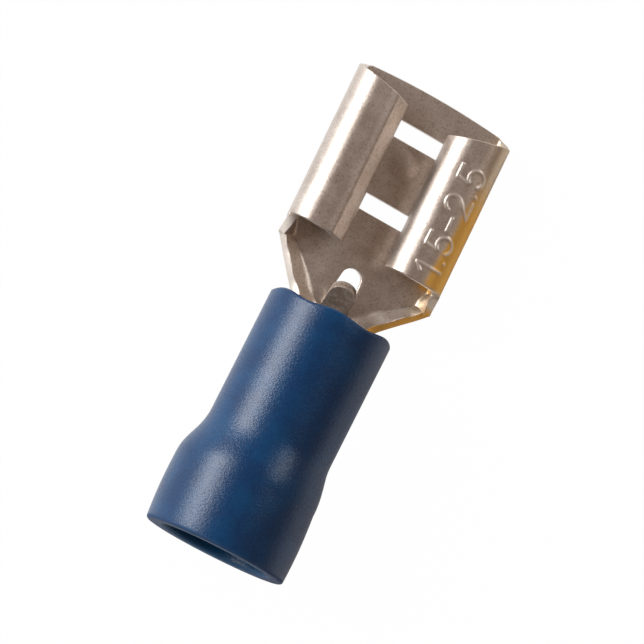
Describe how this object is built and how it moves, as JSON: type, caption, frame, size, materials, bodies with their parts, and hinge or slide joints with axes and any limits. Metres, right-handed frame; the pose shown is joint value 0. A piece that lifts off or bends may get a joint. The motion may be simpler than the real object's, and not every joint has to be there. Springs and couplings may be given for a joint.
{
  "type": "female spade terminal",
  "caption": "Insulated female blade connector: a folded receptacle with rolled rails grips a flat tab, and a wire barrel is crimped inside a flared blue sleeve.",
  "frame": {"origin": "middle of the closed part of the wire barrel, on the barrel's axis", "axes": "+Y along the barrel's axis towards the mating end, +Z towards the open side of the rails, +X across the receptacle"},
  "size_m": [0.0076, 0.0223, 0.0066],
  "materials": {
    "tinned_brass": "satin tin plate over brass, with bare brass at some cut edges",
    "blue_pvc": "satin blue vinyl"
  },
  "bodies": {
    "root": {"terminal": "tinned_brass", "insulating_sleeve": "blue_pvc"}
  },
  "joints": []
}
